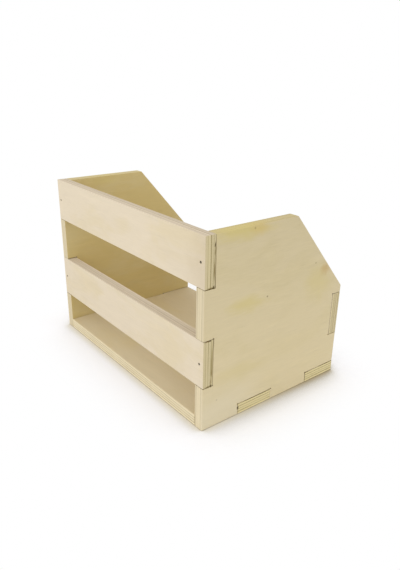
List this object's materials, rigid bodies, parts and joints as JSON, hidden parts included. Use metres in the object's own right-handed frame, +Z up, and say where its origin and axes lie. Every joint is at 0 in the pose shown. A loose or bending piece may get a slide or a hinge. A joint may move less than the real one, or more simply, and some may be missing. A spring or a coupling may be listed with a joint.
{
  "type": "record storage stand",
  "caption": "Open slatted plywood crate whose sides slope to a low front, for standing record sleeves upright and flipping through them.",
  "frame": {"origin": "middle of the footprint, on the surface that the crate stands on", "axes": "+Z up, +X to the right along the rails, +Y towards the tall slatted back, so the low front faces -Y"},
  "size_m": [0.37, 0.245, 0.25],
  "materials": {
    "side_plywood": "sanded plywood, unvarnished, layered edges",
    "base_plywood": "sanded plywood, unvarnished, layered edges",
    "rail_plywood": "sanded plywood, unvarnished, layered edges",
    "nail_steel": "dull bare steel"
  },
  "bodies": {
    "root": {"side_panel_left": "side_plywood", "side_panel_right": "side_plywood", "base_panel": "base_plywood", "back_rail_upper": "rail_plywood", "back_rail_lower": "rail_plywood", "front_rail": "rail_plywood", "nail_back_upper_left": "nail_steel", "nail_back_upper_right": "nail_steel", "nail_back_lower_left": "nail_steel", "nail_back_lower_right": "nail_steel", "nail_front_left": "nail_steel", "nail_front_right": "nail_steel"}
  },
  "joints": []
}
